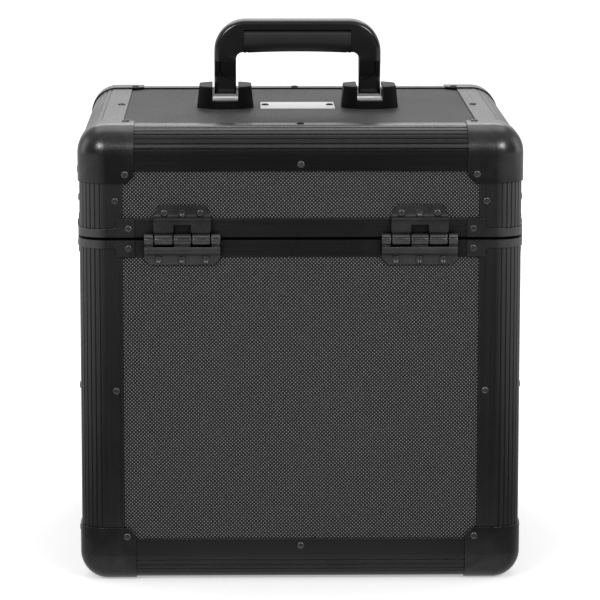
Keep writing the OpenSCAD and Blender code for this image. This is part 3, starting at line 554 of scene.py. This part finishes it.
def foam_pad(name, node, body, side):
    """Pad of a floor or top board."""
    lo, hi = box_mm(node)
    bm = bmesh.new()
    mid, size = [(a + b) / 2 for a, b in zip(lo, hi)], [b - a for a, b in zip(lo, hi)]
    pillow(bm, mid, size, 2, side, crown=0.3, pinch=2.5)
    ob = make(name, bm, FOAM, body, node)


def wall_lining(name, node, body):
    """Four lining panels of one half, each crowned towards the inside."""
    lo, hi = box_mm(node)
    mid = [(a + b) / 2 for a, b in zip(lo, hi)]
    spans = [CASE_W - 2 * LINER, CASE_D - 2 * LINER, hi[2] - lo[2]]
    bm = bmesh.new()
    for side, face in ((-1, lo), (1, hi)):
        for axis in (1, 0):
            centre, size = list(mid), list(spans)
            centre[axis] = face[axis] - side * LINER_T / 2
            size[axis] = LINER_T
            pillow(bm, centre, size, axis, -side, crown=0.12, pinch=1.0, cells=(22, 12))
    ob = make(name, bm, FOAM, body, node)


foam_pad("base_floor_foam", "base_floor_pad", "base", 1)
foam_pad("lid_top_foam", "lid_top_pad", "lid", -1)
wall_lining("base_wall_foam", "base_wall_lining", "base")
wall_lining("lid_wall_foam", "lid_wall_lining", "lid")


def loose_parts(ob):
    """Rivet heads of a CAD node, each as its flat side's centre, axis, direction along it, radius and height."""
    bm = bmesh.new()
    bm.from_mesh(ob.data)
    bmesh.ops.remove_doubles(bm, verts=bm.verts[:], dist=1e-6)
    seen, parts = set(), []
    for v in bm.verts:
        if v.index in seen:
            continue
        stack, part = [v], []
        seen.add(v.index)
        while stack:
            w = stack.pop()
            part.append(w.co.copy())
            for e in w.link_edges:
                o = e.other_vert(w)
                if o.index not in seen:
                    seen.add(o.index)
                    stack.append(o)
        parts.append(part)
    bm.free()
    out = []
    for part in parts:
        lo = Vector([min(p[k] for p in part) for k in range(3)])
        hi = Vector([max(p[k] for p in part) for k in range(3)])
        size = hi - lo
        axis = min(range(3), key=lambda k: size[k])
        mid = (lo + hi) / 2
        wide = sum(1 for p in part if abs(p[axis] - lo[axis]) < size[axis] * 0.05)
        tall = sum(1 for p in part if abs(p[axis] - hi[axis]) < size[axis] * 0.05)
        s = 1 if wide > tall else -1
        foot = mid.copy()
        foot[axis] = lo[axis] if s > 0 else hi[axis]
        out.append((foot, axis, s, max(size) / 2, size[axis]))
    return out


# Profiles of the rivet heads, as shares of their radius and height, from the rim to the middle
DOME = [
    (1.0, 0.0), (1.0, 0.2), (0.97, 0.44), (0.9, 0.68), (0.8, 0.87), (0.7, 0.97), (0.62, 1.0), (0.55, 0.96),
    (0.51, 0.8), (0.48, 0.45), (0.46, 0.24), (0.38, 0.2), (0.24, 0.3), (0.12, 0.36), (0.0, 0.38),
]
DISH = [
    (1.0, 0.0), (1.0, 0.3), (0.97, 0.62), (0.92, 0.8), (0.86, 0.86), (0.8, 0.82), (0.72, 0.62), (0.6, 0.36),
    (0.46, 0.17), (0.3, 0.08), (0.15, 0.05), (0.0, 0.04),
]
# how much wider the heads are than the solids, and points round each
RIVET_GROW, RIVET_TURNS = 1.15, 20
# rivets on top that hold the name plate: greatest distance from the middle of the case
PLATE_RIVET_X = 40.0
# dished rivets: reach below the pin, reach above it and greatest distance from the leaf's middle there
DISH_BELOW, DISH_ABOVE, DISH_OFF = 24.0, 40.0, 4.0


def hinge_rivet(foot, axis):
    """Whether a rivet's head is dished, as in a hinge's base leaf and in the middle of its lid leaf."""
    x, y, z = (c / MM for c in foot)
    off = abs(abs(x) - HINGE_X)
    if axis != 1 or y < 0 or off >= LEAF_HALF:
        return False
    return PIN_Z - DISH_BELOW < z < PIN_Z or (off < DISH_OFF and PIN_Z < z < PIN_Z + DISH_ABOVE)


def rivets(name, node, body):
    """Blind rivet heads: a dome with the hole of its drawn-in mandrel in the middle, or a dish on the hinges.
    Those of the name plate are black."""
    bm = bmesh.new()
    for foot, axis, s, r, h in loose_parts(NODES[node]):
        first = len(bm.faces)
        u, v = [k for k in range(3) if k != axis]
        rings = []
        for out, up in DISH if hinge_rivet(foot, axis) else DOME:
            ring = []
            for i in range(RIVET_TURNS if out > 0 else 1):
                a = 2 * math.pi * i / RIVET_TURNS
                co = foot.copy()
                co[u] += out * r * RIVET_GROW * math.cos(a)
                co[v] += out * r * RIVET_GROW * math.sin(a)
                co[axis] += s * up * h
                ring.append(bm.verts.new(co))
            rings.append(ring)
        middle = rings.pop()[0]
        skin(bm, rings)
        for i, vert in enumerate(rings[-1]):
            bm.faces.new((vert, rings[-1][(i + 1) % RIVET_TURNS], middle))
        bm.faces.new(rings[0][::-1])
        if axis == 2 and abs(foot.x) < PLATE_RIVET_X * MM:
            second_material(bm, first)
    bmesh.ops.recalc_face_normals(bm, faces=bm.faces[:])
    ob = make(name, bm, RIVET, body, node)
    ob.data.materials.append(RIVET_BLACK)


def arc(centre_u, centre_v, r, start, steps):
    """Points of a quarter circle that starts at an angle given in quarter turns."""
    for k in range(steps + 1):
        a = math.pi / 2 * (start + k / steps)
        yield centre_u + r * math.cos(a), centre_v + r * math.sin(a)


# Grip's sleeve: how far it reaches beyond the solid, arch of its underside, lower and upper corner radius
GRIP_OVER, GRIP_ARCH, GRIP_LOW_R, GRIP_UP_R = 0.3, 1.2, 9.0, 3.5
# crown of its sides, depth of its grooves, easing of its ends, gap under the top of the solid
GRIP_CROWN, GRIP_GROOVE, GRIP_END, GRIP_SINK = 0.3, 0.35, 0.5, 0.05


def grip_sleeve():
    """Moulded sleeve: rounded section, crowned a little to its middle, arched along its underside, with a
    shallow groove near each end."""
    lo, hi = box_mm("handle_grip")
    half_l = GRIP_HALF + GRIP_OVER
    half_y = (hi[1] - lo[1]) / 2
    ends = [0.93, 0.95, 0.975, 0.992, 1.0]
    bm = bmesh.new()
    rings = []
    for t in [-e for e in reversed(ends)] + [-0.9 + 0.06 * i for i in range(31)] + ends:
        eased = GRIP_END * max(0.0, (abs(t) - 0.97) / 0.03) ** 2
        groove = GRIP_GROOVE if 0.925 < abs(t) < 0.955 else 0.0
        y = half_y - GRIP_CROWN - eased - groove + GRIP_CROWN * (1 - t * t)
        low = lo[2] + GRIP_ARCH * (1 - t * t) + eased + groove
        y_low, z_low = y - GRIP_LOW_R, low + GRIP_LOW_R
        y_up, z_up = y - GRIP_UP_R, hi[2] - GRIP_SINK - GRIP_UP_R
        points = [*arc(-y_low, z_low, GRIP_LOW_R, 2, 8), *arc(y_low, z_low, GRIP_LOW_R, 3, 8),
                  *arc(y_up, z_up, GRIP_UP_R, 0, 4), *arc(-y_up, z_up, GRIP_UP_R, 1, 4)]
        rings.append([bm.verts.new((t * half_l * MM, py * MM, pz * MM)) for py, pz in points])
    skin(bm, rings)
    bm.faces.new(rings[0])
    bm.faces.new(rings[-1][::-1])
    bmesh.ops.recalc_face_normals(bm, faces=bm.faces[:])
    make("handle_grip_sleeve", bm, GRIP, "handle", "handle_grip")


grip_sleeve()


def leg_depth(z):
    """Half depth of the handle at a height."""
    if z < PIVOT_Z:
        return math.sqrt(max(BOSS_R ** 2 - (PIVOT_Z - z) ** 2, 0.04))
    if z < LEG_THIN_Z:
        return BOSS_R + (LEG_THIN - BOSS_R) * (z - PIVOT_Z) / (LEG_THIN_Z - PIVOT_Z)
    if z < SHOULDER_Z:
        return LEG_THIN + (BAIL_DEEP - LEG_THIN) * (z - LEG_THIN_Z) / (SHOULDER_Z - LEG_THIN_Z)
    return BAIL_DEEP


def bail_section(p_in, p_out, deep, thin, step_u, in_r):
    """Ring of points round the handle between its inner and outer outline, with eased corners. Both flat sides
    are deep on the inside and thin on the outside; where they differ, a groove runs along their step."""
    w = (Vector(p_out) - Vector(p_in)).length
    along = (Vector(p_out) - Vector(p_in)) / w
    out_r = min(EDGE_OUT, thin * 0.85, w * 0.5)
    in_r = min(in_r, deep * 0.6, w * 0.3)
    step_u = min(max(step_u, in_r + 0.7), w - out_r - 1.3)
    groove = SHOULDER_GROOVE if thin < deep else 0.0
    half = [*arc(w - out_r, thin - out_r, out_r, 0, 7),
            (step_u + 1.1, thin), (step_u + 0.3, thin - groove), (step_u - 0.3, deep),
            *arc(in_r, deep - in_r, in_r, 1, 4)]
    ring = half + [(u, -y) for u, y in reversed(half)]
    return [(p_in[0] + along.x * u, y, p_in[1] + along.y * u) for u, y in ring]


# Corner of the handle: stations round it, share of the turn that its small inner corner takes
CORNER_TURNS, INNER_SHARE = 18, 0.92
# easing of the bar's edge along the grip
EDGE_GRIP = 0.4


def bail():
    """Moulded handle: two legs, round corners and the bar over the grip, as one swept skin."""
    foot_z = PIVOT_Z - BOSS_R + 0.02
    x_out, x_in = -BAIL_HALF, -BAIL_HALF + LEG_W
    corner_x, corner_z = x_out + HANDLE_R, BAIL_TOP - HANDLE_R
    inner_x, inner_z = x_in + INNER_R, BAR_Z - INNER_R
    rings = []

    def station(p_in, p_out, z, in_r=EDGE_IN):
        deep, gap = leg_depth(z), SHOULDER_Z - z
        if gap <= 0.0:
            thin, step_u = deep, SHOULDER_R
        elif gap < SHOULDER_R:
            thin, step_u = deep - SHOULDER_STEP, math.sqrt(SHOULDER_R ** 2 - gap ** 2)
        else:
            deep = max(deep - SHOULDER_STEP, 0.2)
            thin, step_u = deep, 0.0
        rings.append(bail_section(p_in, p_out, deep, thin, step_u, in_r))

    step_z = SHOULDER_Z - SHOULDER_R
    levels = [foot_z + rise for rise in (0.0, 0.25, 0.8, 1.8, 3.2)]
    levels += [PIVOT_Z + rise for rise in (0.0, 3.0, 6.0)]
    levels += [step_z - 0.5, step_z + 0.05] + [step_z + SHOULDER_R * k / 14 for k in range(1, 14)]
    levels += [LEG_THIN_Z, SHOULDER_Z - 0.5, SHOULDER_Z]
    for z in sorted(levels):
        if z < min(corner_z, inner_z):
            station((x_in, z), (x_out, z), z)
    end = math.acos((-GRIP_HALF - corner_x) / HANDLE_R)
    for k in range(CORNER_TURNS + 1):
        f = k / CORNER_TURNS
        theta = math.pi + (end - math.pi) * f
        p_out = (corner_x + HANDLE_R * math.cos(theta), corner_z + HANDLE_R * math.sin(theta))
        phi = math.pi - math.pi / 2 * min(f / INNER_SHARE, 1.0)
        p_in = (inner_x + INNER_R * math.cos(phi), inner_z + INNER_R * math.sin(phi))
        if f > INNER_SHARE:
            p_in = (p_in[0] + (-GRIP_HALF - p_in[0]) * (f - INNER_SHARE) / (1.0 - INNER_SHARE), BAR_Z)
        station(p_in, p_out, BAIL_TOP)
    station((-GRIP_HALF, GRIP_Z1), p_out, BAIL_TOP, EDGE_GRIP)
    for k in range(9, -1, -1):
        x = -GRIP_HALF * k / 10
        beside = corner_x - x
        z = corner_z + math.sqrt(HANDLE_R ** 2 - beside ** 2) if beside > 0 else BAIL_TOP
        station((x, GRIP_Z1), (x, z), BAIL_TOP, EDGE_GRIP)
    rings += [[(-x, y, z) for x, y, z in ring] for ring in reversed(rings[:-1])]
    bm = bmesh.new()
    verts = [[bm.verts.new([c * MM for c in co]) for co in ring] for ring in rings]
    skin(bm, verts)
    bm.faces.new(verts[0])
    bm.faces.new(verts[-1][::-1])
    bmesh.ops.remove_doubles(bm, verts=bm.verts[:], dist=1e-6)
    bmesh.ops.recalc_face_normals(bm, faces=bm.faces[:])
    ob = make("handle_bail_skin", bm, HANDLE, "handle", "handle_bail")
    ob.data.set_sharp_from_angle(angle=math.radians(32.0))


bail()


def saddle_plates():
    """Bright plates on the slots' floors, with eased edges; each stops short of its bracket's front."""
    lo, hi = box_mm("handle_saddles")
    half, y0, z0, z1 = (hi[0] - lo[0]) / 2, lo[1], lo[2], hi[2]
    ease = 0.3
    corners = ((-1, y0, -1), (1, y0, -1), (1, SADDLE_FRONT, 1), (-1, SADDLE_FRONT, 1))
    bm = bmesh.new()
    for s in (-1, 1):
        centre = s * (half - SLOT_HALF)
        rings = []
        for e, z in ((0.0, z0), (0.0, z1 - ease), (ease, z1)):
            points = [(centre + sx * (SLOT_HALF - e), y - sy * e, z) for sx, y, sy in corners]
            rings.append([bm.verts.new([c * MM for c in point]) for point in points])
        bm.faces.new(rings[0][::-1])
        bm.faces.new(rings[2])
        skin(bm, rings)
    bmesh.ops.recalc_face_normals(bm, faces=bm.faces[:])
    make("handle_saddle_plates", bm, STEEL_X, "lid", "handle_saddles", smooth=False)


saddle_plates()
rivets("base_rivet_heads", "base_rivets", "base")
rivets("lid_rivet_heads", "lid_rivets", "lid")


def leaf_sheet(bm, path, columns=12):
    """Bent sheet: each row of the path is (y, z, x0, x1), and its thickness lies behind it."""
    front, back = [], []
    for j, (y, z, x0, x1) in enumerate(path):
        a, b = path[max(j - 1, 0)], path[min(j + 1, len(path) - 1)]
        d = Vector((b[0] - a[0], b[1] - a[1])).normalized()
        ny, nz = -d.y * LEAF_T, d.x * LEAF_T
        if ny > 0:
            ny, nz = -ny, -nz
        for i in range(columns + 1):
            x = x0 + (x1 - x0) * i / columns
            front.append(bm.verts.new((x * MM, y * MM, z * MM)))
            back.append(bm.verts.new((x * MM, (y + ny) * MM, (z + nz) * MM)))
    slab(bm, front, back, columns + 1)


def barrel(bm, x0, x1, eased=0.45):
    """Rolled knuckle with the open seam of its roll, round at its ends and bored for the pin."""
    first = len(bm.faces)
    steps = [i * 5.0 for i in range(72) if abs(i * 5.0 - SLIT_AT) > SLIT_HALF + 4]
    steps += [SLIT_AT + k * SLIT_HALF / 6 for k in range(-9, 10)]
    steps = sorted({round(a % 360.0, 3) for a in steps})

    def ring(x, radius):
        turned = [(radius(a), math.radians(a)) for a in steps]
        return [bm.verts.new((x * MM, r * math.cos(a) * MM, r * math.sin(a) * MM)) for r, a in turned]

    def slit(a):
        """Depth of the roll's seam at an angle, with soft lips."""
        off = abs((a - SLIT_AT + 180.0) % 360.0 - 180.0) / SLIT_HALF
        k = min(max((1.15 - off) / 0.75, 0.0), 1.0)
        return SLIT_DEEP * k * k * (3 - 2 * k)

    ends = [(f * eased, (1.0 - math.sqrt(1.0 - (1.0 - f) ** 2)) * eased) for f in (0.0, 0.1, 0.3, 0.6, 1.0)]
    places = [(x0 + inset, cut) for inset, cut in ends] + [(x1 - inset, cut) for inset, cut in reversed(ends)]
    rings = [ring(x, lambda a: KNUCKLE_R - cut - slit(a)) for x, cut in places]
    bores = [ring(x, lambda a: BORE_R) for x in (x0, x1)]
    rings = [bores[0]] + rings + [bores[1]]
    skin(bm, rings + rings[:1])
    second_material(bm, first)


def place_hinge(name, node, body, x, bm, mat):
    """Move a leaf from its pin to its place on the case and make it a piece."""
    for v in bm.verts:
        v.co += Vector((x * MM, PIN_Y * MM, PIN_Z * MM))
    bmesh.ops.recalc_face_normals(bm, faces=bm.faces[:])
    ob = make(name, bm, mat, body, node)
    ob.data.materials.append(KNUCKLE)
    ob.data.set_sharp_from_angle(angle=math.radians(38.0))


def base_leaf(name, node, x):
    """Riveted low on the base, out in a soft bend, and up to three rolled knuckles."""
    low, cut_corner = -21.2, 5.0
    board, face = CASE_D / 2 + LEAF_T - PIN_Y, 3.3
    bend = [(face - 0.5, -5.9), (face - 0.12, -6.0), (face, -6.35), (face, -7.5), (face, -8.6),
            (face - 0.25, -9.6), (face - 1.1, -10.8), (face - 2.7, -12.1),
            (board + 2.0, -13.1), (board + 0.7, -13.9), (board + 0.12, -14.6)]
    flat = [(board, z) for z in (-15.3, -16.6, -17.6, -18.9, -20.2, low + 0.2)] + [(board - 0.25, low)]
    path = []
    for y, z in bend + flat:
        half = LEAF_HALF - max(0.0, (low + cut_corner) - z)
        path.append((y, z, -half, half))
    bm = bmesh.new()
    leaf_sheet(bm, path)
    for x0, x1 in ((-LEAF_HALF, -KNUCKLE_END), (-KNUCKLE_MID, KNUCKLE_MID), (KNUCKLE_END, LEAF_HALF)):
        barrel(bm, x0, x1)
        neck = ((0.6, -3.2), (0.6, -4.9), (1.3, -5.8), (2.3, -6.6))
        leaf_sheet(bm, [(y, z, x0 + 0.5, x1 - 0.5) for y, z in neck], 1)
    place_hinge(name, node, "base", x, bm, HINGE)


def lid_leaf(name, node, x):
    """Riveted to the lid's board, out over the rim with a raised bend, and down to two rolled knuckles."""
    lo, hi = box_mm(node)
    top = hi[2] - PIN_Z
    board, nose, face = lo[1] + LEAF_T - PIN_Y, 4.5, 3.3
    taper = 9.4
    ridge = top - taper
    path = [(board - 0.2, top), (board, top - 0.2), (board, top - 3.0), (board, top - 6.0),
            (board, ridge + 0.9), (board + 0.35, ridge + 0.35), (board + 1.4, ridge + 0.1), (board + 3.0, ridge),
            (nose - 1.6, ridge - 0.1), (nose - 0.5, ridge - 0.3), (nose, ridge - 0.8), (nose, ridge - 1.3),
            (nose - 0.35, ridge - 1.8),
            (face + 0.15, ridge - 2.3), (face, ridge - 2.9), (face, 12.4)]
    bm = bmesh.new()
    rows = []
    for y, z in path:
        half = LID_HALF - max(0.0, z - ridge) * (LID_HALF - LID_TOP_HALF) / taper
        rows.append((y, z, -half, half))
    leaf_sheet(bm, rows)
    strap = ((face, 12.4, 0.0), (face, 9.0, 0.0), (face, 6.9, 0.2),
             (face - 0.12, 6.2, 0.5), (face - 0.5, 5.85, 0.5))
    neck = ((2.2, 6.6), (1.2, 5.4), (1.0, 3.4))
    for s in (-1, 1):
        a, b = sorted((s * LID_KNUCKLE_IN, s * LID_HALF))
        leaf_sheet(bm, [(y, z, a + cut, b - cut) for y, z, cut in strap], 4)
        leaf_sheet(bm, [(y, z, a + 1.6, b - 1.6) for y, z in neck], 1)
        barrel(bm, a + 0.5, b - 0.5, eased=1.3)
    place_hinge(name, node, "lid", x, bm, HINGE_LID_SHADED)


for side, at in (("left", -HINGE_X), ("right", HINGE_X)):
    base_leaf(f"base_leaf_{side}", f"hinge_base_leaf_{side}", at)
    lid_leaf(f"lid_leaf_{side}", f"hinge_lid_leaf_{side}", at)


# ---------------------------------------------------------------- stage
FLOOR_R, FLOOR_SIDES = 30.0, 48
AIM = (0.0, 0.0, 0.22)


def floor():
    """Pale floor: white to the camera and shadowed by the case, but darker in reflections, so that upright
    faces stay black."""
    t = new_tree("floor")
    t.nodes.remove(t.nodes["Principled BSDF"])
    path = t.node("ShaderNodeLightPath").outputs
    xyz = t.split(t.coord())
    length = t.node("ShaderNodeVectorMath", operation="LENGTH")
    t.link(t.coord(), length.inputs[0])
    far = length.outputs["Value"]
    matt = t.node("ShaderNodeBsdfDiffuse")
    matt.inputs["Color"].default_value = (0.8, 0.8, 0.8, 1.0)
    seen = t.node("ShaderNodeAddShader")
    lift = t.math("MULTIPLY", path["Is Camera Ray"], t.remap(far, 0.4, 2.2, 0.42, 0.8))
    t.link(matt.outputs[0], seen.inputs[0])
    t.link(t.light("ShaderNodeEmission", lift), seen.inputs[1])
    # reflections see it pale round the case, far behind it and far beside it
    near = t.remap(far, 0.22, 0.46, 0.46, 0.1, smooth=True)
    behind = t.remap(xyz["Y"], 0.35, -0.8, 0.1, 0.65)
    beside = t.remap(t.math("ABSOLUTE", xyz["X"]), 0.3, 2.0, 0.1, 0.85)
    mirrored = t.light("ShaderNodeEmission", t.math("MAXIMUM", t.math("MAXIMUM", near, behind), beside))
    surface = t.choose(path["Is Glossy Ray"], seen.outputs[0], mirrored)
    t.link(surface, t.nodes["Material Output"].inputs["Surface"])
    bm = bmesh.new()
    turns = [2 * math.pi * i / FLOOR_SIDES for i in range(FLOOR_SIDES)]
    bm.faces.new([bm.verts.new((FLOOR_R * math.cos(a), FLOOR_R * math.sin(a), 0.0)) for a in turns])
    me = bpy.data.meshes.new("floor")
    bm.to_mesh(me)
    bm.free()
    ob = bpy.data.objects.new("floor", me)
    bpy.context.collection.objects.link(ob)
    me.materials.append(t.owner)


def world():
    """Plain studio: white to the camera; reflections see a pale backdrop behind the case and overhead, and a
    dark room in front; even fill for the rest."""
    studio = bpy.data.worlds.new("studio")
    bpy.context.scene.world = studio
    t = Tree(studio)
    path = t.node("ShaderNodeLightPath").outputs
    xyz = t.split(t.node("ShaderNodeTexCoord").outputs["Generated"])
    above = t.remap(xyz["Z"], 0.0, 0.75, 0.08, 0.7)
    overhead = t.math("MULTIPLY", above, t.remap(xyz["Y"], 0.15, 0.75, 1.0, 0.5))
    backdrop = t.remap(xyz["Y"], 0.3, -0.9, 0.0, 0.76)
    mirrored = t.light("ShaderNodeBackground", t.math("MAXIMUM", overhead, backdrop))
    fill = t.nodes["Background"]
    t.put(fill.inputs["Color"], WHITE)
    t.put(fill.inputs["Strength"], 0.46)
    lit = t.choose(path["Is Glossy Ray"], fill.outputs[0], mirrored)
    surface = t.choose(path["Is Camera Ray"], lit, t.light("ShaderNodeBackground", 1.0))
    t.link(surface, t.nodes["World Output"].inputs["Surface"])


def lamp(name, at, size, power):
    """Rectangular lamp turned to the case: place and size in metres, power in watts."""
    data = bpy.data.lights.new(name, "AREA")
    data.shape = "RECTANGLE"
    data.size, data.size_y = size
    data.energy = power
    ob = bpy.data.objects.new(name, data)
    ob.location = at
    ob.rotation_mode = "QUATERNION"
    ob.rotation_quaternion = (Vector(AIM) - Vector(at)).to_track_quat("-Z", "Y")
    bpy.context.collection.objects.link(ob)


floor()
world()
lamp("key_left", (1.15, 2.35, 1.65), (0.8, 0.7), 28.0)
lamp("key_right", (-1.3, 2.35, 1.65), (0.8, 0.7), 28.0)
lamp("key_strip", (0.0, 2.6, 1.75), (2.2, 0.16), 2.0)
lamp("top", (0.0, -0.9, 2.7), (2.6, 1.7), 22.0)
lamp("side_left", (2.4, -0.4, 1.0), (1.2, 1.5), 9.0)
lamp("side_right", (-2.4, -0.4, 1.0), (1.2, 1.5), 9.0)
lamp("back", (0.0, -2.4, 1.7), (1.8, 0.9), 12.0)
